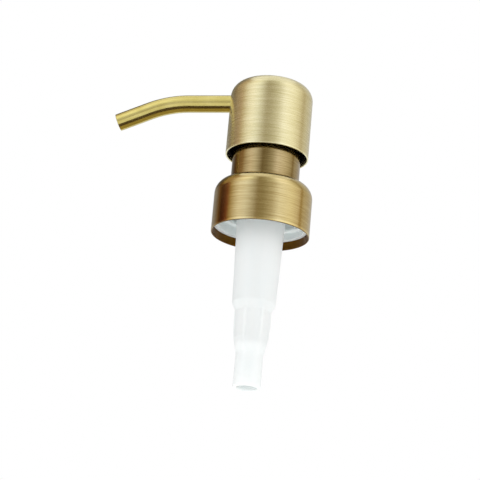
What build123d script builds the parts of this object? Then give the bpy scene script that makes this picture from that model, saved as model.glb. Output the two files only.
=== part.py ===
from build123d import *
import os

# Screw-on soap pump with a metal head, neck and collar and a bent spout.
# Millimetres. +Z up along the pump's axis, the spout points to -Y.
# The origin is on the axis, in the plane of the bottle's lip, under the gasket.

# ---------------------------------------------------------------- driving dimensions
sheet = 0.45                  # wall of the drawn metal shells
run_gap = 0.05                # radial running clearance
hair = 0.02                   # gap between pieces that rest on each other across a joint

# collar shell
collar_r = 15.75
collar_rim_z = -12.9
collar_top_z = 4.4
collar_shoulder = 4.5
collar_hole_r = 11.1
edge_break = 0.2              # rounded lower edge of the shells

# screw cap, 28/400 thread
cap_r = 15.2
cap_bottom_z = -10.2
cap_top_z = 3.3
cap_round = 3.6
cap_plate_z = 2.35            # underside of the top plate
cap_bore_r = 13.95
cap_seat_r = 12.5             # narrowed bore round the flange
cap_cone_z = 0.4
cap_seat_z = 1.9
cap_hole_r = 10.7
thread_pitch = 25.4 / 6
thread_turns = 1.5
thread_start_z = -8.8
thread_crest_r = 12.95
thread_root_width = 2.2
thread_crest_width = 0.9
thread_sink = 0.25            # how far the ridge's root lies in the wall

# gasket and housing
gasket_in_r = 8.4
gasket_out_r = 12.3
gasket_top_z = 1.2
barrel_r = 8.1                # at the gasket
barrel_low_r = 6.85
barrel_low_z = -36.0
waist_top_r = 5.6
waist_top_z = -38.7
waist_low_r = 5.3
waist_low_z = -47.8
tail_top_r = 4.32
tail_top_z = -52.2
tail_low_r = 4.42
tail_end_z = -63.4
tail_round = 0.6
bore_r = 6.0
bore_top_z = 2.5
bore_step_z = -35.8
chamber_r = 4.5
chamber_top_z = -37.4
chamber_floor_z = -48.6
seat_wide_r = 2.8
inlet_r = 1.6
inlet_top_z = -49.8
socket_r = 3.2                # dip tube socket
socket_top_z = -53.4
socket_lead = 0.4
mouth_in_r = 7.2              # upper rim, which snaps into the stem guide
mouth_top_z = 5.5
bead_r = 8.3
bead_low_z = 3.9
bead_top_z = 4.9
bead_bevel = 0.2
vent_r = 0.6
vent_z = -2.6
rib_count = 6
rib_first_angle = 45
rib_width = 1.1
rib_root_r = 5.2
rib_top_z = -37.6
rib_out_r = 5.87
rib_shoulder_z = -39.4
rib_low_r = 5.55
rib_low_z = -47.2
rib_knee_r = 4.85
rib_knee_z = -50.4
rib_foot_r = 4.2
rib_foot_z = -53.6

# inlet valve and spring
ball_r = 2.4
cage_r = 4.45
cage_bore_r = 2.75
cage_top_z = -42.8
cage_web = 1.1
cage_bar = 1.2
cage_window = 2.0
cage_window_low_z = -47.6
spring_wire_r = 0.4
spring_mean_r = 3.6
spring_coils = 10

# piston, rod and stem
stroke = 9.0
stroke_end_gap = 0.2          # left between head and stem guide when the pump is down
stem_r = 4.0
stem_bore_r = 2.2
stem_low_z = -3.45
stem_top_z = 25.5
stem_collar_r = 5.2
stem_collar_low_z = 20.3
stem_collar_top_z = 22.3
rod_bore_r = 1.3
rod_top_z = 5.0
valve_disc_r = 4.2
valve_disc_top_z = -11.0
valve_disc_low_z = -13.0
spigot_r = 2.8
spigot_low_z = -15.0
port_r = 0.6
port_z = -10.25
piston_top_z = -5.0
hub_out_r = 3.3
lip_in_r = 5.1
lip_root_r = 4.7
lip_waist_r = 5.6
lip_edge = 0.6
web_half = 0.7                # half the thickness of the web at the lips' root

# stem guide
guide_out_r = 10.5
guide_in_r = 9.65
flange_r = 12.0               # clamps the gasket on the bottle's lip
flange_top_z = 2.3
guide_top_z = 15.3
guide_disc_z = 7.2
guide_hub_r = 6.5
guide_hub_low_z = 3.0
guide_skirt_r = 5.9
guide_skirt_in_r = 4.6
guide_skirt_low_z = -4.95
guide_hole_r = 4.08
guide_hole_low_z = 4.0
guide_pocket_r = 5.6
guide_pocket_z = 5.4
wiper_top_z = 7.0
wiper_lip_r = 4.04
wiper_body_r = 4.7
wiper_lip_z = 6.3

# neck sleeve
neck_r = 11.0
neck_flange_r = 11.8
neck_low_z = 3.4
neck_flange_top_z = 3.8
neck_top_z = 15.8
neck_curl_r = 9.7

# head
head_r = 13.4
head_rim_z = 13.75
head_top_z = 38.6
head_round = 4.9
core_r = 12.9
core_gap = 0.05               # between the core and the inside of the shell
core_skirt_in_r = 12.0
core_low_z = 14.95
core_web_low_z = 25.6
core_web_top_z = 27.2
core_round = 4.4
core_chamber_r = 11.8
boss_r = 6.8
boss_low_z = guide_disc_z + stroke + stroke_end_gap
tower_r = 4.8
nozzle_block_width = 8.4
bush_seat_r = 5.4
bush_seat_top_z = 24.0
stem_seat_r = 4.06
stem_seat_top_z = 26.2
core_duct_top_z = 34.3
bush_in_r = 4.08
bush_top_z = 20.25
seal_tube_r = 0.66

# spout
spout_z = 32.5
spout_r = 2.85
spout_bore_r = 2.3
spout_hole_r = 2.9
spout_root_y = -6.0
spout_bend_y = -27.5
spout_bend_radius = 36.0
spout_drop_angle = 22.0
spout_reach = 51.1
liner_r = 2.2
liner_bore_r = 1.6
liner_root_y = -4.6
liner_recess = 0.8

os.makedirs("parts", exist_ok=True)


# ---------------------------------------------------------------- lip_gasket
# flat soft washer that lies on the bottle's lip
with BuildPart() as lip_gasket:
    with BuildSketch(Plane.XY):
        Circle(gasket_out_r)
        Circle(gasket_in_r, mode=Mode.SUBTRACT)
    extrude(amount=gasket_top_z)
lip_gasket.part.label = "lip_gasket"
export_step(lip_gasket.part, "parts/lip_gasket.step")


# ---------------------------------------------------------------- housing
# moulded pump cylinder: snap rim on top, then three steps down to the dip tube socket
with BuildPart() as housing:
    with BuildSketch(Plane.XZ):
        with BuildLine():
            Polyline(
                (tail_low_r, tail_end_z + tail_round),
                (tail_top_r, tail_top_z),
                (waist_low_r, waist_low_z),
                (waist_top_r, waist_top_z),
                (barrel_low_r, barrel_low_z),
                (barrel_r, gasket_top_z),
                (barrel_r, bead_low_z),
                (bead_r, bead_low_z + bead_bevel),
                (bead_r, bead_top_z - bead_bevel),
                (barrel_r, bead_top_z),
                (barrel_r, mouth_top_z),
                (mouth_in_r, mouth_top_z),
                (mouth_in_r, bore_top_z),
                (bore_r, bore_top_z),
                (bore_r, bore_step_z),
                (chamber_r, chamber_top_z),
                (chamber_r, chamber_floor_z),
                (seat_wide_r, chamber_floor_z),
                (inlet_r, inlet_top_z),
                (inlet_r, socket_top_z),
                (socket_r, socket_top_z),
                (socket_r, tail_end_z + socket_lead),
                (socket_r + socket_lead, tail_end_z),
                (tail_low_r - tail_round, tail_end_z),
            )
            RadiusArc(
                (tail_low_r - tail_round, tail_end_z),
                (tail_low_r, tail_end_z + tail_round),
                -tail_round,
            )
        make_face()
    revolve(axis=Axis.Z)
    # ribs that run down the middle step and carry its load over the lower shoulder
    for rib in range(rib_count):
        rib_angle = rib_first_angle + rib * 360 / rib_count
        rib_plane = Plane(
            origin=(0, 0, 0),
            x_dir=Vector(1, 0, 0).rotate(Axis.Z, rib_angle),
            z_dir=Vector(0, -1, 0).rotate(Axis.Z, rib_angle),
        )
        with BuildSketch(rib_plane):
            with BuildLine():
                Polyline(
                    (rib_foot_r, rib_foot_z),
                    (rib_knee_r, rib_knee_z),
                    (rib_low_r, rib_low_z),
                    (rib_out_r, rib_shoulder_z),
                    (rib_out_r, rib_top_z),
                    (rib_root_r, rib_top_z),
                    close=True,
                )
            make_face()
        extrude(amount=rib_width / 2, both=True)
    # air vent into the bottle
    with BuildSketch(Plane.YZ.offset(bore_r - run_gap)):
        with Locations((0, vent_z)):
            Circle(vent_r)
    extrude(amount=barrel_r, mode=Mode.SUBTRACT)
housing.part.label = "housing"
export_step(housing.part, "parts/housing.step")


# ---------------------------------------------------------------- ball_cage
# spring seat over the inlet ball: a windowed sleeve with a cross bar on top that stops the ball
with BuildPart() as ball_cage:
    with BuildSketch(Plane.XY.offset(chamber_floor_z)):
        Circle(cage_r)
        Circle(cage_bore_r, mode=Mode.SUBTRACT)
    extrude(amount=cage_top_z - chamber_floor_z)
    with BuildSketch(Plane.XY.offset(cage_window_low_z)):
        Rectangle(2 * collar_r, cage_window)
        Rectangle(cage_window, 2 * collar_r)
    extrude(amount=cage_top_z - cage_web - cage_window_low_z, mode=Mode.SUBTRACT)
    with BuildSketch(Plane.XY.offset(cage_top_z - cage_web)):
        Rectangle(2 * (cage_bore_r + sheet), cage_bar)
        Rectangle(cage_bar, 2 * (cage_bore_r + sheet))
    extrude(amount=cage_web)
ball_cage.part.label = "ball_cage"
export_step(ball_cage.part, "parts/ball_cage.step")


# ---------------------------------------------------------------- inlet_ball
# check ball, resting in the 45 degree cone over the inlet
seat_rise = ball_r * 2**0.5 - inlet_r            # cone's edge to the centre of a ball that touches it
with BuildPart() as inlet_ball:
    with BuildSketch(Plane.XZ):
        with BuildLine():
            ball_edge = CenterArc((0, inlet_top_z + seat_rise + hair), ball_r, -90, 180)
            Line(ball_edge @ 1, ball_edge @ 0)
        make_face()
    revolve(axis=Axis.Z)
inlet_ball.part.label = "inlet_ball"
export_step(inlet_ball.part, "parts/inlet_ball.step")


# ---------------------------------------------------------------- main_spring
# stainless compression spring between the cage and the rod's valve disc, both ends ground flat
spring_length = valve_disc_low_z - cage_top_z
with BuildPart() as main_spring:
    with BuildLine() as coil:
        Helix(
            pitch=spring_length / spring_coils,
            height=spring_length,
            radius=spring_mean_r,
            center=(0, 0, cage_top_z),
        )
    with BuildSketch(Plane(origin=coil.line @ 0, z_dir=coil.line % 0)):
        Circle(spring_wire_r)
    sweep(is_frenet=True)
    split(bisect_by=Plane.XY.offset(cage_top_z + hair), keep=Keep.TOP)
    split(bisect_by=Plane.XY.offset(valve_disc_low_z - hair), keep=Keep.BOTTOM)
main_spring.part.label = "main_spring"
export_step(main_spring.part, "parts/main_spring.step")


# ---------------------------------------------------------------- chaplet
# stem guide: a flange that clamps the gasket, an outer wall snapped over the housing's rim,
# a disc with the guide hole, and a skirt down the bore that stops the piston
snap_r = barrel_r + run_gap
groove_r = bead_r + run_gap
with BuildPart() as chaplet:
    with BuildSketch(Plane.XZ):
        with BuildLine():
            Polyline(
                (guide_skirt_in_r, guide_skirt_low_z),
                (guide_skirt_r, guide_skirt_low_z),
                (guide_skirt_r, guide_hub_low_z),
                (guide_hub_r, guide_hub_low_z),
                (guide_hub_r, mouth_top_z + hair),
                (snap_r, mouth_top_z + hair),
                (snap_r, bead_top_z),
                (groove_r, bead_top_z - bead_bevel),
                (groove_r, bead_low_z + bead_bevel),
                (snap_r, bead_low_z),
                (snap_r, gasket_top_z),
                (flange_r, gasket_top_z),
                (flange_r, flange_top_z),
                (guide_out_r, flange_top_z),
                (guide_out_r, guide_top_z),
                (guide_in_r, guide_top_z),
                (guide_in_r, guide_disc_z),
                (guide_pocket_r, guide_disc_z),
                (guide_pocket_r, guide_pocket_z),
                (guide_hole_r, guide_pocket_z),
                (guide_hole_r, guide_hole_low_z),
                (guide_skirt_in_r, guide_hole_low_z),
                close=True,
            )
        make_face()
    revolve(axis=Axis.Z)
chaplet.part.label = "chaplet"
export_step(chaplet.part, "parts/chaplet.step")


# ---------------------------------------------------------------- stem_wiper
# soft ring in the guide's pocket, its lip leans on the stem
with BuildPart() as stem_wiper:
    with BuildSketch(Plane.XZ):
        with BuildLine():
            Polyline(
                (guide_pocket_r, guide_pocket_z),
                (guide_pocket_r, wiper_top_z),
                (wiper_lip_r, wiper_top_z),
                (wiper_lip_r, wiper_lip_z),
                (wiper_body_r, guide_pocket_z),
                close=True,
            )
        make_face()
    revolve(axis=Axis.Z)
stem_wiper.part.label = "stem_wiper"
export_step(stem_wiper.part, "parts/stem_wiper.step")


# ---------------------------------------------------------------- neck_sleeve
# spun metal sleeve on the guide, with a foot flange under the collar and a curled top
with BuildPart() as neck_sleeve:
    with BuildSketch(Plane.XZ):
        with BuildLine():
            Polyline(
                (neck_r - sheet, neck_low_z),
                (neck_flange_r, neck_low_z),
                (neck_flange_r, neck_flange_top_z),
                (neck_r, neck_flange_top_z),
                (neck_r, neck_top_z - sheet),
            )
            RadiusArc((neck_r, neck_top_z - sheet), (neck_r - sheet, neck_top_z), -sheet)
            Polyline(
                (neck_r - sheet, neck_top_z),
                (neck_curl_r, neck_top_z),
                (neck_curl_r, neck_top_z - sheet),
                (neck_r - sheet, neck_top_z - sheet),
                (neck_r - sheet, neck_low_z),
            )
        make_face()
    revolve(axis=Axis.Z)
neck_sleeve.part.label = "neck_sleeve"
export_step(neck_sleeve.part, "parts/neck_sleeve.step")


# ---------------------------------------------------------------- closure_ring
# moulded screw cap with the bottle thread inside, pressed into the collar shell
with BuildPart() as closure_ring:
    with BuildSketch(Plane.XZ):
        with BuildLine():
            Polyline(
                (cap_r - cap_round, cap_top_z),
                (cap_hole_r, cap_top_z),
                (cap_hole_r, cap_plate_z),
                (cap_seat_r, cap_plate_z),
                (cap_seat_r, cap_seat_z),
                (cap_bore_r, cap_cone_z),
                (cap_bore_r, cap_bottom_z),
                (cap_r, cap_bottom_z),
                (cap_r, cap_top_z - cap_round),
            )
            RadiusArc((cap_r, cap_top_z - cap_round), (cap_r - cap_round, cap_top_z), -cap_round)
        make_face()
    revolve(axis=Axis.Z)
    with BuildLine() as thread_path:
        Helix(
            pitch=thread_pitch,
            height=thread_pitch * thread_turns,
            radius=cap_bore_r,
            center=(0, 0, thread_start_z),
        )
    thread_plane = Plane(
        origin=thread_path.line @ 0,
        x_dir=(-1, 0, 0),
        z_dir=thread_path.line % 0,
    )
    with BuildSketch(thread_plane):
        with BuildLine():
            Polyline(
                (-thread_sink, -thread_root_width / 2),
                (cap_bore_r - thread_crest_r, -thread_crest_width / 2),
                (cap_bore_r - thread_crest_r, thread_crest_width / 2),
                (-thread_sink, thread_root_width / 2),
                close=True,
            )
        make_face()
    sweep(path=thread_path.line, is_frenet=True)
closure_ring.part.label = "closure_ring"
export_step(closure_ring.part, "parts/closure_ring.step")


# ---------------------------------------------------------------- collar_shell
# drawn metal skirt with a rounded shoulder and a hole for the neck
with BuildPart() as collar_shell:
    with BuildSketch(Plane.XY.offset(collar_rim_z)):
        Circle(collar_r)
    extrude(amount=collar_top_z - collar_rim_z)
    fillet(collar_shell.faces().sort_by(Axis.Z)[-1].edges(), collar_shoulder)
    offset(amount=-sheet, openings=collar_shell.faces().sort_by(Axis.Z)[0])
    with BuildSketch(Plane.XY.offset(collar_top_z)):
        Circle(collar_hole_r)
    extrude(amount=-collar_shoulder, mode=Mode.SUBTRACT)
    fillet(collar_shell.faces().sort_by(Axis.Z)[0].edges(), edge_break)
collar_shell.part.label = "collar_shell"
export_step(collar_shell.part, "parts/collar_shell.step")


# ---------------------------------------------------------------- stem
# hollow stem with a collar near its top that holds the head on
with BuildPart() as stem:
    with BuildSketch(Plane.XY.offset(stem_low_z)):
        Circle(stem_r)
    extrude(amount=stem_top_z - stem_low_z)
    with BuildSketch(Plane.XY.offset(stem_collar_low_z)):
        Circle(stem_collar_r)
    extrude(amount=stem_collar_top_z - stem_collar_low_z)
    with BuildSketch(Plane.XY.offset(stem_low_z)):
        Circle(stem_bore_r)
    extrude(amount=stem_top_z - stem_low_z, mode=Mode.SUBTRACT)
stem.part.label = "stem"
export_step(stem.part, "parts/stem.step")


# ---------------------------------------------------------------- piston_rod
# hollow rod pressed into the stem, with cross ports and the valve disc that the spring pushes on
with BuildPart() as piston_rod:
    with BuildSketch(Plane.XZ):
        with BuildLine():
            Polyline(
                (rod_bore_r, rod_top_z),
                (stem_bore_r, rod_top_z),
                (stem_bore_r, valve_disc_top_z),
                (valve_disc_r, valve_disc_top_z),
                (valve_disc_r, valve_disc_low_z),
                (spigot_r, valve_disc_low_z),
                (spigot_r, spigot_low_z),
                (0, spigot_low_z),
                (0, valve_disc_top_z),
                (rod_bore_r, valve_disc_top_z),
                close=True,
            )
        make_face()
    revolve(axis=Axis.Z)
    for port_plane in (Plane.XZ, Plane.YZ):
        with BuildSketch(port_plane):
            with Locations((0, port_z)):
                Circle(port_r)
        extrude(amount=valve_disc_r, both=True, mode=Mode.SUBTRACT)
piston_rod.part.label = "piston_rod"
export_step(piston_rod.part, "parts/piston_rod.step")


# ---------------------------------------------------------------- piston
# double-lipped piston, free to slide on the rod between the stem's end and the valve disc
piston_low_z = valve_disc_top_z + hair
piston_mid_z = (piston_top_z + piston_low_z) / 2
lip_out_r = bore_r - run_gap
rod_hole_r = stem_bore_r + run_gap
with BuildPart() as piston:
    with BuildSketch(Plane.XZ):
        with BuildLine():
            Polyline(
                (rod_hole_r, piston_mid_z),
                (rod_hole_r, piston_top_z),
                (hub_out_r, piston_top_z),
                (hub_out_r, piston_mid_z + web_half),
                (lip_root_r, piston_mid_z + web_half),
                (lip_in_r, piston_top_z),
                (lip_out_r, piston_top_z),
                (lip_out_r, piston_top_z - lip_edge),
                (lip_waist_r, piston_mid_z + web_half),
                (lip_waist_r, piston_mid_z),
                close=True,
            )
        make_face()
    revolve(axis=Axis.Z)
    mirror(about=Plane.XY.offset(piston_mid_z))
piston.part.label = "piston"
export_step(piston.part, "parts/piston.step")


# ---------------------------------------------------------------- head_core
# black moulded insert that fills the head: a skirt round the neck, a boss for the stem below the web,
# a tower under the head's top, and a block that carries the spout
with BuildPart() as head_core:
    with BuildSketch(Plane.XY.offset(core_low_z)):
        Circle(core_r)
    extrude(amount=head_top_z - sheet - core_gap - core_low_z)
    fillet(head_core.faces().sort_by(Axis.Z)[-1].edges(), core_round)
    with BuildSketch(Plane.XY.offset(core_low_z)):
        Circle(core_skirt_in_r)
    extrude(amount=boss_low_z - core_low_z, mode=Mode.SUBTRACT)
    with BuildSketch(Plane.XY.offset(boss_low_z)):
        Circle(core_skirt_in_r)
        Circle(boss_r, mode=Mode.SUBTRACT)
    extrude(amount=core_web_low_z - boss_low_z, mode=Mode.SUBTRACT)
    with BuildSketch(Plane.XY.offset(core_web_top_z)):
        Circle(core_chamber_r)
        Circle(tower_r, mode=Mode.SUBTRACT)
        with Locations((0, -core_r / 2)):
            Rectangle(nozzle_block_width, core_r, mode=Mode.SUBTRACT)
    extrude(amount=head_top_z - core_web_top_z, mode=Mode.SUBTRACT)
    # stem socket and duct
    with BuildSketch(Plane.XY.offset(boss_low_z)):
        Circle(bush_seat_r)
    extrude(amount=bush_seat_top_z - boss_low_z, mode=Mode.SUBTRACT)
    with BuildSketch(Plane.XY.offset(bush_seat_top_z)):
        Circle(stem_seat_r)
    extrude(amount=stem_seat_top_z - bush_seat_top_z, mode=Mode.SUBTRACT)
    with BuildSketch(Plane.XY.offset(stem_seat_top_z)):
        Circle(stem_bore_r)
    extrude(amount=core_duct_top_z - stem_seat_top_z, mode=Mode.SUBTRACT)
    # spout socket, liner socket and cross duct, all along -Y
    for from_y, to_y, socket_radius in (
        (0, liner_root_y, liner_bore_r),
        (liner_root_y, spout_root_y, liner_r),
        (spout_root_y, -head_r, spout_r),
    ):
        with BuildSketch(Plane.XZ.offset(-from_y)):
            with Locations((0, spout_z)):
                Circle(socket_radius)
        extrude(amount=from_y - to_y, mode=Mode.SUBTRACT)
head_core.part.label = "head_core"
export_step(head_core.part, "parts/head_core.step")


# ---------------------------------------------------------------- swivel_bush
# bush pressed into the boss under the stem's collar, so that the head turns but stays on
with BuildPart() as swivel_bush:
    with BuildSketch(Plane.XY.offset(boss_low_z)):
        Circle(bush_seat_r)
        Circle(bush_in_r, mode=Mode.SUBTRACT)
    extrude(amount=bush_top_z - boss_low_z)
swivel_bush.part.label = "swivel_bush"
export_step(swivel_bush.part, "parts/swivel_bush.step")


# ---------------------------------------------------------------- stem_seal
# O-ring above the stem's collar
with BuildPart() as stem_seal:
    with BuildSketch(Plane.XZ):
        with Locations((bush_seat_r - seal_tube_r, bush_seat_top_z - seal_tube_r)):
            Circle(seal_tube_r)
    revolve(axis=Axis.Z)
stem_seal.part.label = "stem_seal"
export_step(stem_seal.part, "parts/stem_seal.step")


# ---------------------------------------------------------------- head_shell
# deep-drawn metal cup over the core, with the spout's hole at the front
with BuildPart() as head_shell:
    with BuildSketch(Plane.XY.offset(head_rim_z)):
        Circle(head_r)
    extrude(amount=head_top_z - head_rim_z)
    fillet(head_shell.faces().sort_by(Axis.Z)[-1].edges(), head_round)
    offset(amount=-sheet, openings=head_shell.faces().sort_by(Axis.Z)[0])
    with BuildSketch(Plane.XZ):
        with Locations((0, spout_z)):
            Circle(spout_hole_r)
    extrude(amount=head_r, mode=Mode.SUBTRACT)
    fillet(head_shell.faces().sort_by(Axis.Z)[0].edges(), edge_break)
head_shell.part.label = "head_shell"
export_step(head_shell.part, "parts/head_shell.step")


# ---------------------------------------------------------------- spout_tube, spout_liner
# bent metal spout pressed into the core, and the liquid tube inside it;
# in the YZ plane the path runs straight out, drops through one bend and ends straight
spout_bend_z = spout_z - spout_bend_radius


def spout_path(root_y, reach):
    """Line, arc and line from root_y on the spout's axis to a distance reach from the pump's axis."""
    with BuildLine(Plane.YZ) as path:
        Line((root_y, spout_z), (spout_bend_y, spout_z))
        bend = CenterArc((spout_bend_y, spout_bend_z), spout_bend_radius, 90, spout_drop_angle)
        tip_run = (reach + (bend @ 1).Y) / -(bend % 1).Y
        Line(bend @ 1, (bend @ 1) + (bend % 1) * tip_run)
    return path.line


with BuildPart() as spout_tube:
    tube_path = spout_path(spout_root_y, spout_reach)
    with BuildSketch(Plane.XZ.offset(-spout_root_y)):
        with Locations((0, spout_z)):
            Circle(spout_r)
            Circle(spout_bore_r, mode=Mode.SUBTRACT)
    sweep(path=tube_path)
spout_tube.part.label = "spout_tube"
export_step(spout_tube.part, "parts/spout_tube.step")

with BuildPart() as spout_liner:
    liner_path = spout_path(liner_root_y, spout_reach - liner_recess)
    with BuildSketch(Plane.XZ.offset(-liner_root_y)):
        with Locations((0, spout_z)):
            Circle(liner_r)
            Circle(liner_bore_r, mode=Mode.SUBTRACT)
    sweep(path=liner_path)
spout_liner.part.label = "spout_liner"
export_step(spout_liner.part, "parts/spout_liner.step")
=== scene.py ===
import math

import bmesh
import bpy
import numpy as np
from mathutils import Matrix, Vector


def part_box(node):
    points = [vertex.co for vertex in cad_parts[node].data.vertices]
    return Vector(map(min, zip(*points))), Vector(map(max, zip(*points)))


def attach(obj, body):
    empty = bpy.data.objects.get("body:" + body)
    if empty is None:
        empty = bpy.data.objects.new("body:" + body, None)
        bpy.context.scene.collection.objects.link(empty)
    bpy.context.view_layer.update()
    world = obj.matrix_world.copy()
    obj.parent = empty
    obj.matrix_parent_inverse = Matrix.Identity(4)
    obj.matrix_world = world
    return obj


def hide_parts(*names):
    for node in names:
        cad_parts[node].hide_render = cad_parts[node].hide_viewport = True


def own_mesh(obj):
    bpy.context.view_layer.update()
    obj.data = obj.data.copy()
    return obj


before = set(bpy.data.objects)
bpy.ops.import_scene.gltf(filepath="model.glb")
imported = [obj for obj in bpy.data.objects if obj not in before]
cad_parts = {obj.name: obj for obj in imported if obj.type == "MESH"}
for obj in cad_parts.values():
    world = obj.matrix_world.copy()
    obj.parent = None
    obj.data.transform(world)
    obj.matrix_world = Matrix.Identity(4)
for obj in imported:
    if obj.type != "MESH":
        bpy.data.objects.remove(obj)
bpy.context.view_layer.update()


# ---------------------------------------------------------------- the head's shell
# A deep-drawn brass cup, brushed round and round on a lathe, tinted like antique brass and lacquered.
# It is pressed over the black insert that carries the stem and the spout.

MM = 0.001
SHEET = 0.45 * MM             # wall of all three drawn shells
CUT_EDGE = 0.2 * MM           # rounding of the shells' trimmed lower edge
TUBE_EDGE = 0.13 * MM         # softening of the other cut edges
BRUSH_DEPTH = 0.02 * MM       # of the brush marks in the metal
AROUND = 256                  # columns of a shell of revolution
FINE_PER_METRE = 5600         # brush marks along a shell's outline, fine and broader
STROKES_PER_METRE = 4200
BROAD_PER_METRE = 1700


def softened(corners, arc_points=10):
    """Outline through the corners (r, z, round): a corner that has a round becomes an arc of that radius.

    The arc meets both sides tangentially, at round / tan(half the corner's angle) from the corner.
    Returns the points and, for each of them, the number of the corner that it belongs to.
    """
    points, owners = [], []
    for number, (r, z, radius) in enumerate(corners):
        here = np.array((r, z))
        if radius == 0:
            points.append(here)
            owners.append(number)
            continue
        before = np.array(corners[number - 1][:2]) - here
        after = np.array(corners[(number + 1) % len(corners)][:2]) - here
        before /= np.linalg.norm(before)
        after /= np.linalg.norm(after)
        half = math.acos(np.clip(before @ after, -1, 1)) / 2
        middle = (before + after) / np.linalg.norm(before + after)
        centre = here + middle * radius / math.sin(half)
        from_side = (here + before * radius / math.tan(half) - centre) / radius
        to_side = (here + after * radius / math.tan(half) - centre) / radius
        swing = math.pi - 2 * half
        for step in np.linspace(0, 1, arc_points):
            blend = math.sin((1 - step) * swing) * from_side + math.sin(step * swing) * to_side
            points.append(centre + radius * blend / math.sin(swing))
            owners.append(number)
    return np.array(points), np.array(owners)


def spaced(points, owners, step):
    """The same outline with more points, so that none of its sides is longer than step."""
    gaps = np.linalg.norm(np.diff(points, axis=0), axis=1)
    along = np.concatenate(([0], np.cumsum(gaps)))
    marks = np.union1d(np.round(along, 9), np.round(np.arange(0, along[-1], step), 9))
    more = np.stack([np.interp(marks, along, points[:, axis]) for axis in (0, 1)], axis=1)
    return more, owners[np.searchsorted(along, marks + 1e-8, side="right") - 1]


def surface(name, places, wraps, lengths, second_finish=None):
    """A mesh from a grid of places, rows along an outline and columns round it.

    Four neighbouring places make a face. Columns always close on themselves, rows only if wraps is set.
    The map "skin" holds the share of the way round and the distance along the outline, in metres.
    second_finish marks the rows whose faces take the second material.
    """
    rows, columns = places.shape[:2]
    row, column = np.meshgrid(np.arange(rows if wraps else rows - 1), np.arange(columns), indexing="ij")
    next_row, next_column = (row + 1) % rows, (column + 1) % columns
    quads = np.stack(
        (
            row * columns + column,
            row * columns + next_column,
            next_row * columns + next_column,
            next_row * columns + column,
        ),
        axis=-1,
    ).reshape(-1, 4)
    mesh = bpy.data.meshes.new(name)
    mesh.vertices.add(rows * columns)
    mesh.vertices.foreach_set("co", places.reshape(-1).astype(np.float32))
    mesh.loops.add(quads.size)
    mesh.loops.foreach_set("vertex_index", quads.reshape(-1).astype(np.int32))
    mesh.polygons.add(len(quads))
    mesh.polygons.foreach_set("loop_start", np.arange(0, quads.size, 4, dtype=np.int32))
    skin = np.stack(
        (
            np.stack((column, column + 1, column + 1, column), axis=-1) / columns,
            np.stack((lengths[row], lengths[row], lengths[row + 1], lengths[row + 1]), axis=-1),
        ),
        axis=-1,
    )
    mesh.uv_layers.new(name="skin").data.foreach_set("uv", skin.reshape(-1).astype(np.float32))
    if second_finish is not None:
        marks = np.repeat(second_finish[: row.shape[0]], columns)
        mesh.polygons.foreach_set("material_index", marks.astype(np.int32))
    mesh.update(calc_edges=True)
    mesh.shade_smooth()
    piece = bpy.data.objects.new(name, mesh)
    bpy.context.scene.collection.objects.link(piece)
    return piece


def turned(name, points, around, wraps=True, swell=None, second_finish=None):
    """The outline (r, z) carried round the Z axis: x = r cos a, y = r sin a.

    Its outer side runs upwards, so that the faces point outwards.
    swell(angle, r, z) is added to r. Rows that start or end on the axis are merged into one point.
    """
    angle = np.arange(around) * 2 * math.pi / around
    r, z = points[:, :1], points[:, 1:]
    radius = r + (swell(angle[None, :], r, z) if swell else 0)
    places = np.stack(
        np.broadcast_arrays(radius * np.cos(angle), radius * np.sin(angle), z),
        axis=-1,
    )
    closed = np.vstack((points, points[:1]))
    lengths = np.concatenate(([0], np.cumsum(np.linalg.norm(np.diff(closed, axis=0), axis=1))))
    piece = surface(name, places, wraps, lengths, second_finish)
    finish_mesh(piece, not wraps)
    return piece


def finish_mesh(piece, merge_ends):
    """Merges the points that lie together at the axis and lets large flat faces rule the shading."""
    if merge_ends:
        work = bmesh.new()
        work.from_mesh(piece.data)
        bmesh.ops.remove_doubles(work, verts=work.verts, dist=0.0005 * MM)
        work.to_mesh(piece.data)
        work.free()
    even = piece.modifiers.new("even_shading", "WEIGHTED_NORMAL")
    even.weight = 50


class Value:
    """A shader socket that takes part in arithmetic: every operator adds its own Math node."""

    def __init__(self, finish, socket):
        self.finish, self.socket = finish, socket

    def math(self, operation, *others):
        return self.finish.node("Math", {"operation": operation}, dict(enumerate((self, *others))))

    def __add__(self, other):
        return self.math("ADD", other)

    def __sub__(self, other):
        return self.math("SUBTRACT", other)

    def __rsub__(self, other):
        return self.math("MULTIPLY", -1) + other

    def __mul__(self, other):
        return self.math("MULTIPLY", other)

    def __pow__(self, other):
        return self.math("POWER", other)

    __radd__ = __add__
    __rmul__ = __mul__


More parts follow.
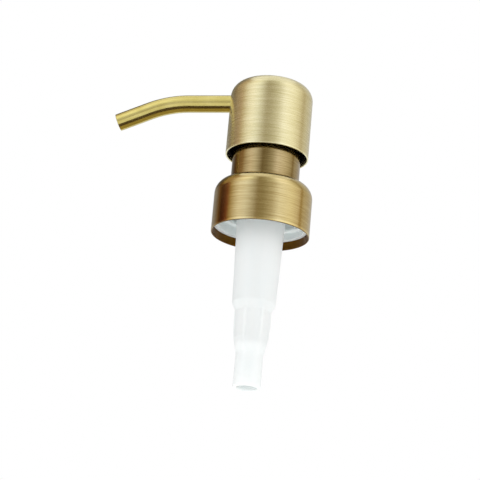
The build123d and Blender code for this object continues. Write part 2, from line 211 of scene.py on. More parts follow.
class Finish:
    """A material with its Principled shader, and the one way to add any other node to it."""

    def __init__(self, name, constants):
        self.material = bpy.data.materials.new(name)
        self.material.use_nodes = True
        self.tree = self.material.node_tree
        self.shader = self.tree.nodes["Principled BSDF"]
        for socket, value in constants.items():
            self.shader.inputs[socket].default_value = value

    def node(self, kind, settings=(), sockets=(), output=0):
        """Adds a node: its settings first, then the numbers, colours or links of its sockets."""
        node = self.tree.nodes.new("ShaderNode" + kind)
        for setting, value in dict(settings).items():
            if setting == "stops":
                ramp = node.color_ramp.elements
                while len(ramp) < len(value):
                    ramp.new(1.0)
                for element, (position, colour) in zip(ramp, value):
                    element.position = position
                    element.color = (*colour, 1.0)
            else:
                setattr(node, setting, value)
        for socket, value in dict(sockets).items():
            self.feed(node.inputs[socket], value)
        return Value(self, node.outputs[output])

    def feed(self, socket, value):
        if isinstance(value, Value):
            self.tree.links.new(value.socket, socket)
        else:
            socket.default_value = value

    def set(self, socket, value):
        """Feeds one of the Principled shader's own sockets."""
        self.feed(self.shader.inputs[socket], value)

    def blend(self, factor, first, second):
        """A colour between two colours."""
        first, second = ((*c, 1.0) if isinstance(c, tuple) else c for c in (first, second))
        return self.node("Mix", {"data_type": "RGBA"}, {0: factor, 6: first, 7: second}, output=2)

    def noise(self, vector, scale, detail=2.0, rough=0.5):
        sockets = {"Vector": vector, "Scale": scale, "Detail": detail, "Roughness": rough}
        return self.node("TexNoise", {"noise_dimensions": "3D"}, sockets)

    def spread(self, value, low, high):
        """The value's range from low to high, stretched over 0 to 1."""
        sockets = {"Value": value, "From Min": low, "From Max": high}
        return self.node("MapRange", {"clamp": True}, sockets)

    def place(self):
        """The point's own place in metres."""
        return self.node("TexCoord", output="Object")

    def along(self, axis):
        """The point's coordinate along X (0), Y (1) or Z (2)."""
        return self.node("SeparateXYZ", (), {0: self.place()}, output=axis)

    def relief(self, height, strength, depth):
        """Raises and lowers the surface a little by the height."""
        sockets = {"Strength": strength, "Distance": depth, "Height": height}
        self.set("Normal", self.node("Bump", (), sockets))


def round_the_axis(finish, turns, per_metre):
    """A vector for marks that run round the Z axis.

    It is the direction from the axis times turns, and the distance along the outline times per_metre.
    """
    flat = finish.node("VectorMath", {"operation": "MULTIPLY"}, {0: finish.place(), 1: (1, 1, 0)})
    heading = finish.node("VectorMath", {"operation": "NORMALIZE"}, {0: flat})
    reach = finish.node("VectorMath", {"operation": "MULTIPLY"}, {0: heading, 1: (turns, turns, 0)})
    skin = finish.node("UVMap", {"uv_map": "skin"})
    along = finish.node("SeparateXYZ", (), {0: skin}, output=1) * per_metre
    offset = finish.node("CombineXYZ", (), {2: along})
    return finish.node("VectorMath", {"operation": "ADD"}, {0: reach, 1: offset})


def lathe_brushed(name, light, dark, roughness, metallic, strength):
    """Brass brushed on a lathe: fine lines round the axis, patches of darker tint, blur along the axis.

    Returns the finish and its tinted colour, so that a piece can add its own painted highlight and
    painted shade to it.
    """
    finish = Finish(name, {"Metallic": metallic, "Anisotropic": 0.6, "Anisotropic Rotation": 0.25})
    fine_lines = finish.noise(round_the_axis(finish, 3.5, FINE_PER_METRE), 1.0, 3.0, 0.6)
    strokes = finish.noise(round_the_axis(finish, 1.6, STROKES_PER_METRE), 1.0, 2.0, 0.6)
    patches = finish.noise(finish.place(), 90, 3.0, 0.6)
    broad = finish.noise(round_the_axis(finish, 1.2, BROAD_PER_METRE), 1.0, 3.0, 0.6)
    tint = finish.spread(strokes * 0.6 + broad * 0.3 + patches * 0.1, 0.38, 0.62)
    finish.set("Roughness", roughness + finish.spread(fine_lines, 0.3, 0.7) * 0.06)
    finish.relief(fine_lines, strength, BRUSH_DEPTH)
    return finish, finish.blend(tint, dark, light)


def painted_rim_highlight(finish, colour, rim_z, bright, width):
    """Paints a highlight on the trimmed edge: a bright line of a given width above rim_z, its upper
    border uneven.
    """
    uneven = finish.noise(finish.place(), 420, 2.0, 0.5) * 0.5 + 0.75
    height = (finish.along(2) - rim_z) * (1 / width)
    highlight_share = 1 - finish.spread(height * uneven, 0.55, 1.1)
    return finish.blend(highlight_share * 0.8, colour, bright)


head_low, head_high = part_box("head_shell")
spout_low, spout_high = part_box("spout_tube")
head_r = head_high.x
spout_r = spout_high.x
spout_z = spout_high.z - spout_r
HEAD_ROUND = 4.9 * MM
HEAD_BRASS = (0.86, 0.79, 0.51)
HEAD_TINT = (0.68, 0.61, 0.33)
# colour and width of the painted highlight along the cup's rim
HEAD_RIM_HIGHLIGHT = (0.97, 0.93, 0.62)
HEAD_RIM_HIGHLIGHT_WIDTH = 0.6 * MM
# colour and width of the painted shade in the crevice round the spout's root
CREVICE_SHADE = (0.12, 0.08, 0.03)
CREVICE_SHADE_WIDTH = 0.35 * MM
head_points, _ = softened(
    (
        (0, head_high.z, 0),
        (head_r, head_high.z, HEAD_ROUND),
        (head_r, head_low.z, CUT_EDGE),
        (head_r - SHEET, head_low.z, CUT_EDGE),
        (head_r - SHEET, head_high.z - SHEET, HEAD_ROUND - SHEET),
        (0, head_high.z - SHEET, 0),
    ),
    arc_points=24,
)
head_brass, head_colour = lathe_brushed("head_brass", HEAD_BRASS, HEAD_TINT, 0.25, 0.85, 0.26)
# painted highlight: a bright line along the cup's trimmed lower edge, where light from below glints
head_colour = painted_rim_highlight(head_brass, head_colour, head_low.z, HEAD_RIM_HIGHLIGHT, HEAD_RIM_HIGHLIGHT_WIDTH)
# painted shade in the crevice round the spout's root, on the front of the cup only
from_spout = (head_brass.along(0) ** 2 + (head_brass.along(2) - spout_z) ** 2) ** 0.5
crevice_shade = 1 - head_brass.spread(from_spout, spout_r, spout_r + CREVICE_SHADE_WIDTH)
front = head_brass.along(1).math("LESS_THAN", 0.0)
head_brass.set("Base Color", head_brass.blend(crevice_shade * front, head_colour, CREVICE_SHADE))
head_shell = turned("head_cover", head_points[::-1], AROUND, wraps=False)
head_shell.data.materials.append(head_brass.material)
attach(head_shell, "head")
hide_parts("head_shell")


# ---------------------------------------------------------------- the spout
# A drawn brass tube, bent once, brushed along its length and lacquered, square cut at its tip.
# Its root is pressed into the insert inside the head.

SPOUT_WALL = 0.55 * MM
SPOUT_STRAIGHT = 21.5 * MM    # from the root to the bend
SPOUT_BEND_R = 36.0 * MM
SPOUT_DROP = math.radians(22.0)
SPOUT_STEP = 0.6 * MM         # longest side of the mesh along the spout
spout_root_y = spout_high.y


def spout_axis(distance):
    """Centre and direction of the spout's axis at a distance from its root: straight, one arc, straight.

    Along the arc the direction has turned down by (distance - start) / bend radius, up to the whole drop.
    """
    bent = SPOUT_BEND_R * SPOUT_DROP
    turn = np.clip((distance - SPOUT_STRAIGHT) / SPOUT_BEND_R, 0, SPOUT_DROP)
    before = np.minimum(distance, SPOUT_STRAIGHT)
    after = np.maximum(distance - SPOUT_STRAIGHT - bent, 0)
    out = before + SPOUT_BEND_R * np.sin(turn) + after * np.cos(SPOUT_DROP)
    down = SPOUT_BEND_R * (1 - np.cos(turn)) + after * np.sin(SPOUT_DROP)
    nothing = np.zeros_like(out)
    centre = np.stack((nothing, spout_root_y - out, spout_z - down), axis=-1)
    ahead = np.stack((nothing, -np.cos(turn), -np.sin(turn)), axis=-1)
    return centre, ahead


def along_spout(name, points, around):
    """The outline (r, distance) carried round the spout's axis.

    A point is at centre + r (sin a across + cos a upright).
    """
    angle = np.arange(around) * 2 * math.pi / around
    centre, ahead = spout_axis(points[:, 1])
    across = np.array((1.0, 0.0, 0.0))
    upright = np.cross(across, ahead)
    spoke = np.sin(angle)[None, :, None] * across + np.cos(angle)[None, :, None] * upright[:, None, :]
    places = centre[:, None, :] + points[:, 0][:, None, None] * spoke
    lengths = np.append(points[:, 1], points[0, 1])
    piece = surface(name, places, True, lengths)
    finish_mesh(piece, False)
    return piece


def pulled_brushed(name, light, dark, roughness):
    """Brass brushed along its length: marks long on the map's way along and short on its way round."""
    finish = Finish(name, {"Metallic": 0.95})
    skin = finish.node("UVMap", {"uv_map": "skin"})
    streak = finish.node("VectorMath", {"operation": "MULTIPLY"}, {0: skin, 1: (90, 160, 1)})
    hairlines = finish.noise(streak, 1.0, 2.0, 0.5)
    patches = finish.noise(finish.place(), 260, 3.0, 0.6)
    tint = finish.spread(hairlines * 0.5 + patches * 0.5, 0.36, 0.62)
    finish.set("Base Color", finish.blend(tint, dark, light))
    finish.set("Roughness", roughness + hairlines * 0.08)
    finish.relief(hairlines, 0.12, BRUSH_DEPTH)
    return finish.material


bent_length = SPOUT_BEND_R * SPOUT_DROP
tip_centre_y = spout_low.y + spout_r * math.sin(SPOUT_DROP)
tip_run = (
    spout_root_y - tip_centre_y - SPOUT_STRAIGHT - SPOUT_BEND_R * math.sin(SPOUT_DROP)
) / math.cos(SPOUT_DROP)
spout_length = SPOUT_STRAIGHT + bent_length + tip_run
spout_corners, owners = softened(
    (
        (spout_r, 0, 0),
        (spout_r - SPOUT_WALL, 0, 0),
        (spout_r - SPOUT_WALL, spout_length, TUBE_EDGE),
        (spout_r, spout_length, TUBE_EDGE),
    )
)
spout_points, _ = spaced(
    np.vstack((spout_corners, spout_corners[:1])),
    np.append(owners, owners[:1]),
    SPOUT_STEP,
)
spout = along_spout("bent_spout", spout_points[:0:-1], 96)
SPOUT_BRASS = (0.74, 0.64, 0.24)
SPOUT_TINT = (0.62, 0.52, 0.16)
spout.data.materials.append(pulled_brushed("spout_brass_finish", SPOUT_BRASS, SPOUT_TINT, 0.14))
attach(spout, "head")
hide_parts("spout_tube")

# the liquid tube inside it, extruded in milky polyethylene
liner = Finish("milky_liner", {"Roughness": 0.42, "IOR": 1.51, "Subsurface Weight": 0.5})
liner.shader.inputs["Subsurface Scale"].default_value = 0.8 * MM
liner_clouds = liner.noise(liner.place(), 500, 3.0, 0.5)
liner.set("Base Color", liner.blend(liner_clouds, (0.70, 0.73, 0.70), (0.86, 0.88, 0.85)))
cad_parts["spout_liner"].material_slots[0].material = liner.material


# ---------------------------------------------------------------- the neck
# A spun brass sleeve with a foot flange that the collar holds down, browner and darker than the head.

neck_low, neck_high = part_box("neck_sleeve")
NECK_R = 11.0 * MM
NECK_CURL_R = 9.7 * MM
NECK_FOOT = 0.4 * MM
NECK_BRASS = (0.50, 0.40, 0.21)
NECK_TINT = (0.35, 0.255, 0.115)
neck_points, _ = softened(
    (
        (NECK_R - SHEET, neck_low.z, 0),
        (neck_high.x, neck_low.z, TUBE_EDGE),
        (neck_high.x, neck_low.z + NECK_FOOT, TUBE_EDGE),
        (NECK_R, neck_low.z + NECK_FOOT, 0),
        (NECK_R, neck_high.z, SHEET),
        (NECK_CURL_R, neck_high.z, TUBE_EDGE),
        (NECK_CURL_R, neck_high.z - SHEET, TUBE_EDGE),
        (NECK_R - SHEET, neck_high.z - SHEET, 0),
    )
)
neck_brass, neck_colour = lathe_brushed("neck_brass", NECK_BRASS, NECK_TINT, 0.11, 1.0, 0.06)
neck_brass.set("Base Color", neck_colour)
neck = turned("neck_sleeve_cover", neck_points, AROUND)
neck.data.materials.append(neck_brass.material)
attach(neck, "barrel")
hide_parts("neck_sleeve")


# ---------------------------------------------------------------- the collar
# A drawn brass skirt with a rounded shoulder, pressed over the white screw cap. Its outside is brushed
# and lacquered, and its inside has darkened to antique brown.

collar_low, collar_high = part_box("collar_shell")
collar_r = collar_high.x
COLLAR_ROUND = 4.5 * MM
COLLAR_HOLE_R = 11.1 * MM
HOLE_EDGE = 0.05 * MM
FIRST_INSIDE = 4              # corner of the outline from which the collar's inside begins
COLLAR_BRASS = (0.72, 0.60, 0.31)
COLLAR_TINT = (0.55, 0.43, 0.19)
# colour and width of the painted highlight along the collar's rim
COLLAR_RIM_HIGHLIGHT = (0.88, 0.74, 0.38)
COLLAR_RIM_HIGHLIGHT_WIDTH = 0.9 * MM
# colour of the painted shade along the very edge of the collar's rim
EDGE_SHADE = (0.20, 0.13, 0.05)
EDGE_SHADE_LOW = 0.05 * MM       # the painted edge shade fades out between these heights over the rim
EDGE_SHADE_HIGH = 0.2 * MM
INSIDE_LIGHT = (0.21, 0.095, 0.012)
INSIDE_DARK = (0.11, 0.045, 0.005)
collar_points, collar_owners = softened(
    (
        (COLLAR_HOLE_R, collar_high.z - SHEET, 0),
        (COLLAR_HOLE_R, collar_high.z, HOLE_EDGE),
        (collar_r, collar_high.z, COLLAR_ROUND),
        (collar_r, collar_low.z, CUT_EDGE),
        (collar_r - SHEET, collar_low.z, CUT_EDGE),
        (collar_r - SHEET, collar_high.z - SHEET, COLLAR_ROUND - SHEET),
    ),
    arc_points=20,
)
collar_brass, collar_colour = lathe_brushed("collar_brass", COLLAR_BRASS, COLLAR_TINT, 0.16, 1.0, 0.14)
# painted highlight: a bright line along the collar's trimmed lower edge
collar_colour = painted_rim_highlight(collar_brass, collar_colour, collar_low.z, COLLAR_RIM_HIGHLIGHT, COLLAR_RIM_HIGHLIGHT_WIDTH)
# painted shade: a dark line along the very edge of the rim
over_rim = collar_brass.along(2) - collar_low.z
edge_shade_share = 1 - collar_brass.spread(over_rim, EDGE_SHADE_LOW, EDGE_SHADE_HIGH)
collar_brass.set("Base Color", collar_brass.blend(edge_shade_share * 0.8, collar_colour, EDGE_SHADE))
inside_brass = Finish("antique_inside", {"Metallic": 1.0})
browned = inside_brass.noise(round_the_axis(inside_brass, 3.0, 1500), 1.0, 3.0, 0.6)
inside_brass.set("Base Color", inside_brass.blend(browned, INSIDE_DARK, INSIDE_LIGHT))
inside_brass.set("Roughness", 0.36 + browned * 0.12)
inner_rows = collar_owners[::-1] >= FIRST_INSIDE
collar = turned("collar_cover", collar_points[::-1], AROUND, second_finish=inner_rows)
collar.data.materials.append(collar_brass.material)
collar.data.materials.append(inside_brass.material)
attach(collar, "cap")
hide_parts("collar_shell")


# ---------------------------------------------------------------- white plastic pieces
# Polypropylene, moulded in its natural milky white: the screw cap, the stem guide, the stem with its rod,
# and the cage over the inlet ball. The washer, the wiper and the piston are of a softer grade.


def moulded_white(name, colour, shade, roughness):
    """Milky moulded plastic: faint clouding, soft flow marks down its length and an even satin skin."""
    finish = Finish(name, {"Roughness": roughness, "IOR": 1.49, "Subsurface Weight": 0.6})
    finish.shader.inputs["Subsurface Radius"].default_value = (1.0, 1.0, 1.0)
    finish.shader.inputs["Subsurface Scale"].default_value = 2.0 * MM
    flow = finish.node("VectorMath", {"operation": "MULTIPLY"}, {0: finish.place(), 1: (520, 520, 30)})
    marks = finish.noise(flow, 1.0, 2.0, 0.5)
    clouds = finish.noise(finish.place(), 110, 3.0, 0.55)
    tint = finish.spread(marks * 0.5 + clouds * 0.5, 0.35, 0.65)
    finish.set("Base Color", finish.blend(tint, shade, colour))
    finish.relief(marks, 0.06, 0.03 * MM)
    return finish.material


WHITE = (0.925, 0.985, 0.985)
WHITE_SHADE = (0.89, 0.965, 0.97)
SOFT_WHITE = (0.90, 0.91, 0.89)
SOFT_SHADE = (0.84, 0.86, 0.84)
white = moulded_white("milky_plastic", WHITE, WHITE_SHADE, 0.36)
for node in ("closure_ring", "chaplet", "stem", "piston_rod", "ball_cage"):
    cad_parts[node].material_slots[0].material = white
soft_white = moulded_white("soft_plastic", SOFT_WHITE, SOFT_SHADE, 0.55)
for node in ("lip_gasket", "stem_wiper", "piston"):
    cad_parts[node].material_slots[0].material = soft_white


# ---------------------------------------------------------------- the pump barrel
# One moulding in milky polypropylene, in three steps with rounded shoulders, six soft ribs on the middle
# step and a socket for the dip tube at its foot. Its top snaps into the stem guide.

barrel_low, barrel_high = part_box("housing")
BARREL_R = 8.1 * MM
BARREL_BORE_R = 6.0 * MM
BORE_FLOOR_Z = -35.8 * MM
MOUTH_R = 7.2 * MM
MOUTH_FLOOR_Z = 2.5 * MM
MOUTH_EDGE = 0.2 * MM
BEAD_LOW_Z = 4.1 * MM         # the bead that snaps into the stem guide, with a slope at each end
BEAD_TOP_Z = 4.7 * MM
BEAD_SLOPE = 0.2 * MM
GASKET_TOP_Z = 1.2 * MM
BARREL_FOOT_R = 6.85 * MM     # the wide step tapers to this at its foot
BARREL_FOOT_Z = -36.0 * MM
WAIST_TOP_R = 5.6 * MM        # the middle step
WAIST_TOP_Z = -38.7 * MM
WAIST_LOW_R = 5.3 * MM
WAIST_LOW_Z = -47.8 * MM
TAIL_TOP_R = 4.32 * MM        # the lowest step
TAIL_TOP_Z = -52.2 * MM
TAIL_LOW_R = 4.42 * MM
SOCKET_R = 3.2 * MM           # for the dip tube
SOCKET_LEAD = 0.4 * MM
SOCKET_FLOOR_Z = -53.4 * MM
INLET_R = 1.6 * MM
INLET_TOP_Z = -49.8 * MM
SEAT_R = 2.8 * MM             # the cone that the ball rests on
CHAMBER_R = 4.5 * MM          # room for the ball's cage
CHAMBER_FLOOR_Z = -48.6 * MM
CHAMBER_TOP_Z = -37.4 * MM
barrel_outline = (
    (BARREL_BORE_R, BORE_FLOOR_Z, 0.3 * MM),
    (BARREL_BORE_R, MOUTH_FLOOR_Z, 0),
    (MOUTH_R, MOUTH_FLOOR_Z, 0),
    (MOUTH_R, barrel_high.z, MOUTH_EDGE),
    (BARREL_R, barrel_high.z, MOUTH_EDGE),
    (BARREL_R, BEAD_TOP_Z + BEAD_SLOPE, 0),
    (barrel_high.x, BEAD_TOP_Z, 0),
    (barrel_high.x, BEAD_LOW_Z, 0),
    (BARREL_R, BEAD_LOW_Z - BEAD_SLOPE, 0),
    (BARREL_R, GASKET_TOP_Z, 0),
    (BARREL_FOOT_R, BARREL_FOOT_Z, 1.6 * MM),
    (WAIST_TOP_R, WAIST_TOP_Z, 0.9 * MM),
    (WAIST_LOW_R, WAIST_LOW_Z, 2.0 * MM),
    (TAIL_TOP_R, TAIL_TOP_Z, 1.4 * MM),
    (TAIL_LOW_R, barrel_low.z, 0.7 * MM),
    (SOCKET_R + SOCKET_LEAD, barrel_low.z, 0.05 * MM),
    (SOCKET_R, barrel_low.z + SOCKET_LEAD, 0),
    (SOCKET_R, SOCKET_FLOOR_Z, 0),
    (INLET_R, SOCKET_FLOOR_Z, 0),
    (INLET_R, INLET_TOP_Z, 0),
    (SEAT_R, CHAMBER_FLOOR_Z, 0),
    (CHAMBER_R, CHAMBER_FLOOR_Z, 0),
    (CHAMBER_R, CHAMBER_TOP_Z, 0),
)
FIRST_OUTSIDE, LAST_OUTSIDE = 9, 14      # corners of the outline on the barrel's outside
RIB_COUNT = 6
RIB_FIRST = math.radians(45)
RIB_HALF = 0.62 * MM
BARREL_STEP = 0.5 * MM        # longest side of the mesh along the outline
BARREL_AROUND = 216
# the ribs' crest, from the upper shoulder down to where it sinks into the tail
RIB_CREST_Z = np.array((-53.6, -50.4, -47.2, -43.0, -39.4, -37.6)) * MM
RIB_CREST_R = np.array((4.2, 4.85, 5.55, 5.78, 5.86, 5.86)) * MM
barrel_points, barrel_owners = softened(barrel_outline)
barrel_points, barrel_owners = spaced(
    np.vstack((barrel_points, barrel_points[:1])),
    np.append(barrel_owners, barrel_owners[:1]),
    BARREL_STEP,
)
barrel_points, barrel_owners = barrel_points[:0:-1], barrel_owners[:0:-1]
on_outside = ((barrel_owners >= FIRST_OUTSIDE) & (barrel_owners <= LAST_OUTSIDE))[:, None]


def rib_swell(angle, r, z):
    """How far the ribs lift the outside: the crest's height over it, times a bell.

    The bell is exp(-(distance / half)^4) of the distance round from the nearest rib.
    """
    spacing = 2 * math.pi / RIB_COUNT
    from_rib = (angle - RIB_FIRST + spacing / 2) % spacing - spacing / 2
    bell = np.exp(-((from_rib * r / RIB_HALF) ** 4))
    lift = np.clip(np.interp(z, RIB_CREST_Z, RIB_CREST_R, left=0, right=0) - r, 0, None)
    return np.where(on_outside, lift * bell, 0)


barrel = turned("pump_barrel", barrel_points, BARREL_AROUND, swell=rib_swell)
barrel.data.materials.append(white)
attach(barrel, "barrel")
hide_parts("housing")


# ---------------------------------------------------------------- the black insert and the inner works
# Black moulded insert and bush in the head, and the pieces that only show in a cutaway: a rubber O-ring
# and a glass inlet ball.

# the insert and bush are coloured darker than black plastic: partly their own black, partly painted shade
# of the head's hollow
black_with_shade = Finish("black_plastic_with_shade", {"Specular IOR Level": 0.03})
pitting = black_with_shade.noise(black_with_shade.place(), 900, 2.0, 0.5)
black_with_shade.set("Base Color", black_with_shade.blend(pitting, (0.003, 0.003, 0.003), (0.007, 0.007, 0.007)))
black_with_shade.set("Roughness", 0.6 + pitting * 0.15)
for node in ("head_core", "swivel_bush"):
    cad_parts[node].material_slots[0].material = black_with_shade.material

rubber = Finish("o_ring_rubber", {"Specular IOR Level": 0.3})
bloom = rubber.noise(rubber.place(), 1500, 2.0, 0.5)
rubber.set("Base Color", rubber.blend(bloom, (0.02, 0.02, 0.02), (0.045, 0.045, 0.045)))
rubber.set("Roughness", 0.5 + bloom * 0.2)
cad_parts["stem_seal"].material_slots[0].material = rubber.material

glass = Finish("ball_glass_finish", {"IOR": 1.5, "Coat Weight": 0.3})
swirl = glass.noise(glass.place(), 300, 2.0, 0.5)
glass.set("Base Color", glass.blend(swirl, (0.72, 0.80, 0.78), (0.84, 0.89, 0.87)))
glass.set("Roughness", 0.06 + swirl * 0.04)
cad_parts["inlet_ball"].material_slots[0].material = glass.material


# ---------------------------------------------------------------- the main spring
# Drawn stainless wire, wound with a closed coil at each end. It stands on the ball's cage and pushes the
# rod up.

SPRING_COILS = 10
SPRING_WIRE_R = 0.4 * MM
CLOSED_COILS = 1.0            # at each end
CLEARANCE = 0.02 * MM
SPRING_SAMPLES = 961
WIRE_AROUND = 16
spring_low, spring_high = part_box("main_spring")
spring_r = spring_high.y - SPRING_WIRE_R


def wound_wire(name, samples, around):
    """A helix (R cos t, R sin t, z(t)) with a round wire about it, closed at both ends.

    z rises by a wire's thickness over each closed coil and evenly over the others, and the wire's section
    lies in the plane of the radial direction and the one square to it and to the helix.
    """
    first_z = spring_low.z + SPRING_WIRE_R + CLEARANCE
    last_z = spring_high.z - SPRING_WIRE_R - CLEARANCE
    thick = 2 * SPRING_WIRE_R
    turns = np.linspace(0, SPRING_COILS, samples)
    turns = np.concatenate((turns[:1], turns, turns[-1:]))
    wire_r = np.full(len(turns), SPRING_WIRE_R)
    wire_r[[0, -1]] = 0
    angle = turns * 2 * math.pi
    height = np.interp(
        turns,
        (0, CLOSED_COILS, SPRING_COILS - CLOSED_COILS, SPRING_COILS),
        (first_z, first_z + thick, last_z - thick, last_z),
    )
    radial = np.stack((np.cos(angle), np.sin(angle), np.zeros_like(angle)), axis=-1)
    centre = radial * spring_r + np.stack((0 * angle, 0 * angle, height), axis=-1)
    ahead = np.gradient(centre[1:-1], axis=0)
    ahead = np.concatenate((ahead[:1], ahead, ahead[-1:]))
    ahead /= np.linalg.norm(ahead, axis=1)[:, None]
    beside = np.cross(ahead, radial)
    section = np.arange(around) * 2 * math.pi / around
    spoke = (
        np.cos(section)[None, :, None] * radial[:, None, :]
        + np.sin(section)[None, :, None] * beside[:, None, :]
    )
    places = centre[:, None, :] + wire_r[:, None, None] * spoke
    piece = surface(name, places, False, turns * 2 * math.pi * spring_r)
    finish_mesh(piece, True)
    return piece


wire = Finish("drawn_wire", {"Metallic": 1.0})
die_marks = wire.noise(wire.place(), 1800, 2.0, 0.5)
wire.set("Base Color", wire.blend(die_marks, (0.62, 0.62, 0.62), (0.76, 0.76, 0.75)))
wire.set("Roughness", 0.18 + die_marks * 0.12)
spring = wound_wire("wound_spring", SPRING_SAMPLES, WIRE_AROUND)
spring.data.materials.append(wire.material)
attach(spring, "barrel")
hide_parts("main_spring")
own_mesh(spring)


# ---------------------------------------------------------------- camera
# Below the pump and to the spout's right, looking up, with the pump leaning a little to the right.

CAMERA_LENS = 150.0           # with a sensor 36 mm wide
RIM_DISTANCE = 0.638
CAMERA_AZIMUTH = math.radians(103.3)
CAMERA_ELEVATION = math.radians(-18.55)
CAMERA_ROLL = math.radians(5.2)
SLIDE_RIGHT = 6.35 * MM       # where the collar's rim sits from the middle of the view
SLIDE_UP = 1.48 * MM

back = Vector((
    math.sin(CAMERA_AZIMUTH) * math.cos(CAMERA_ELEVATION),
    -math.cos(CAMERA_AZIMUTH) * math.cos(CAMERA_ELEVATION),
    math.sin(CAMERA_ELEVATION),
))
level = Vector((math.cos(CAMERA_AZIMUTH), math.sin(CAMERA_AZIMUTH), 0))
upright = level.cross(-back)
right = level * math.cos(CAMERA_ROLL) + upright * math.sin(CAMERA_ROLL)
up = upright * math.cos(CAMERA_ROLL) - level * math.sin(CAMERA_ROLL)
rim_centre = Vector((0, 0, collar_low.z))
camera_data = bpy.data.cameras.new("camera")
camera_data.sensor_width = 36.0
camera_data.lens = CAMERA_LENS
camera_data.clip_start = 0.05
camera = bpy.data.objects.new("camera", camera_data)
bpy.context.scene.collection.objects.link(camera)
camera.matrix_world = Matrix.Translation(
    rim_centre - right * SLIDE_RIGHT - up * SLIDE_UP + back * RIM_DISTANCE
) @ Matrix((right, up, back)).transposed().to_4x4()
bpy.context.scene.camera = camera


# ---------------------------------------------------------------- studio
# A pale floor well below the pump, an even white surround, a soft light from below, and cards that only
# the metal mirrors: a ring of light and dark panels round the pump, a dark and an olive card under it.

SURROUND_FOR_MATT = 1.08      # strength of the surround where it lights matt surfaces, and 1 elsewhere
world = bpy.data.worlds.new("surround")
world.use_nodes = True
background = world.node_tree.nodes["Background"]
background.inputs["Color"].default_value = (1, 1, 1, 1)
ray = world.node_tree.nodes.new("ShaderNodeLightPath")
dimmer = world.node_tree.nodes.new("ShaderNodeMapRange")
dimmer.inputs["To Min"].default_value = 1.0
dimmer.inputs["To Max"].default_value = SURROUND_FOR_MATT
world.node_tree.links.new(ray.outputs["Is Diffuse Ray"], dimmer.inputs["Value"])
world.node_tree.links.new(dimmer.outputs[0], background.inputs["Strength"])
bpy.context.scene.world = world
bpy.context.scene.view_settings.view_transform = "Standard"

FLOOR_Z = -0.32
FLOOR_HALF = 6.0
FLOOR_PALE = (0.84, 0.84, 0.83)
LIGHT_OVER_FLOOR = 0.01
LIGHT_SIDE = 0.5
LIGHT_POWER = 0.42
below = bpy.data.lights.new("light_from_below", "AREA")
below.size = LIGHT_SIDE
below.energy = LIGHT_POWER
below_light = bpy.data.objects.new("light_from_below", below)
below_light.location = (0, 0, FLOOR_Z + LIGHT_OVER_FLOOR)
below_light.rotation_euler = (math.pi, 0, 0)
below_light.visible_camera = False
below_light.visible_glossy = False
bpy.context.scene.collection.objects.link(below_light)


def card(name, half_width, low_x, high_x, z):
    """A flat rectangle, level with the floor."""
    mesh = bpy.data.meshes.new(name)
    near, far = -half_width, half_width
    mesh.from_pydata(
        [(low_x, near, z), (high_x, near, z), (high_x, far, z), (low_x, far, z)],
        [],
        [(0, 1, 2, 3)],
    )
    piece = bpy.data.objects.new(name, mesh)
    bpy.context.scene.collection.objects.link(piece)
    return piece


floor = card("floor", FLOOR_HALF, -FLOOR_HALF, FLOOR_HALF, FLOOR_Z)
paper = Finish("floor_paper", {"Roughness": 0.8})
paper.set("Base Color", (*FLOOR_PALE, 1))
floor.data.materials.append(paper.material)

CARDS_Z = -0.25
CARDS_HALF = 0.5
PANEL_R = 0.45
PANEL_LOW = -0.035
PANEL_HIGH = 0.75
LOWER_PANELS_TOP = 0.180      # the neck and the collar mirror what hangs below this
UPPER_PANELS_FOOT = 0.189     # the head mirrors what hangs above this
BRIGHTEST = 1.4
# heading to the right of the camera's side, in degrees, and the panel's colour there
LOWER_PANELS = (
    (-180, (0.42, 0.42, 0.44)),
    (-140, (0.29, 0.27, 0.28)),
    (-122, (0.18, 0.09, 0.03)),
    (-113, (0.03, 0.0, 0.0)),
    (-100, (0.06, 0.0, 0.0)),
    (-90, (0.19, 0.03, 0.0)),
    (-80, (0.48, 0.36, 0.17)),
    (-58, (0.96, 0.95, 1.0)),
    (-42, (0.92, 0.94, 1.05)),
    (-13, (0.33, 0.27, 0.18)),
    (0, (0.35, 0.30, 0.20)),
    (20, (0.60, 0.55, 0.46)),
    (38, (1.05, 1.06, 1.10)),
    (68, (1.06, 1.02, 0.90)),
    (92, (0.78, 0.68, 0.56)),
    (99, (0.38, 0.25, 0.06)),
    (107, (0.63, 0.55, 0.42)),
    (150, (0.60, 0.59, 0.60)),
    (180, (0.50, 0.50, 0.52)),
)
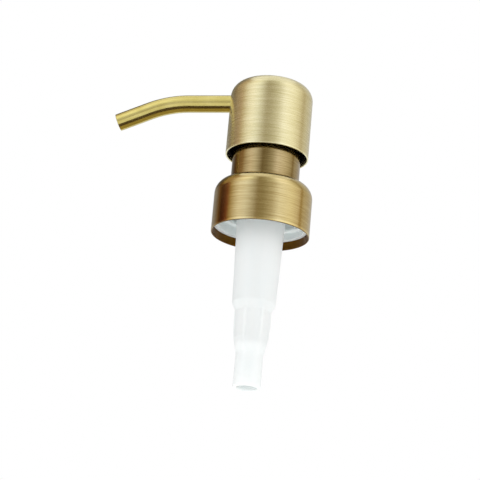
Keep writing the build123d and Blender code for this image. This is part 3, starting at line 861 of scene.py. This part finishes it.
UPPER_PANELS = (
    (-180, (0.30, 0.30, 0.32)),
    (-140, (0.12, 0.10, 0.08)),
    (-126, (0.12, 0.06, 0.01)),
    (-112, (0.40, 0.26, 0.12)),
    (-88, (0.52, 0.38, 0.22)),
    (-70, (1.00, 0.95, 0.86)),
    (-55, (1.28, 1.24, 1.20)),
    (-40, (1.15, 1.18, 1.15)),
    (-14, (0.32, 0.27, 0.16)),
    (0, (0.42, 0.38, 0.27)),
    (18, (0.70, 0.68, 0.58)),
    (38, (1.30, 1.30, 1.35)),
    (58, (1.22, 1.20, 1.15)),
    (78, (0.90, 0.86, 0.72)),
    (94, (0.62, 0.56, 0.40)),
    (101, (0.40, 0.32, 0.18)),
    (112, (0.62, 0.58, 0.48)),
    (150, (0.60, 0.60, 0.64)),
    (180, (0.50, 0.50, 0.54)),
)
CAMERA_SIDE = (math.degrees(CAMERA_AZIMUTH) - 90) / 360
panels = turned("panels", np.array(((PANEL_R, PANEL_HIGH), (PANEL_R, PANEL_LOW))), 180, wraps=False)
panel_light = Finish("panel_light", {"Base Color": (0, 0, 0, 1), "Emission Strength": BRIGHTEST})
panel_light.shader.inputs["Specular IOR Level"].default_value = 0.0
share = panel_light.node("SeparateXYZ", (), {0: panel_light.node("UVMap", {"uv_map": "skin"})})
from_camera = (share + (1.5 - CAMERA_SIDE)).math("FRACT")
lower_colour, upper_colour = (
    panel_light.node("ValToRGB", {"stops": [
        (heading / 360 + 0.5, tuple(part / BRIGHTEST for part in colour)) for heading, colour in row
    ]}, {0: from_camera})
    for row in (LOWER_PANELS, UPPER_PANELS)
)
higher = panel_light.spread(panel_light.along(2), LOWER_PANELS_TOP, UPPER_PANELS_FOOT)
panel_light.set("Emission Color", panel_light.blend(higher, lower_colour, upper_colour))
panels.data.materials.append(panel_light.material)

# what the spout's underside mirrors: dark towards the camera, olive straight below and behind
mirrored_only = [panels]
for name, low_x, high_x, colour in (
    ("dark_card", 0.02, 0.27, (0.05, 0.02, 0.0)),
    ("olive_card", -0.40, 0.02, (0.36, 0.27, 0.08)),
):
    below_spout = card(name, CARDS_HALF, low_x, high_x, CARDS_Z)
    card_light = Finish(name, {"Base Color": (0, 0, 0, 1), "Emission Strength": 1.0})
    card_light.shader.inputs["Specular IOR Level"].default_value = 0.0
    card_light.set("Emission Color", (*colour, 1))
    below_spout.data.materials.append(card_light.material)
    mirrored_only.append(below_spout)
for mirrored in mirrored_only:
    mirrored.visible_camera = False
    mirrored.visible_diffuse = False
    mirrored.visible_shadow = False
    mirrored.visible_transmission = False
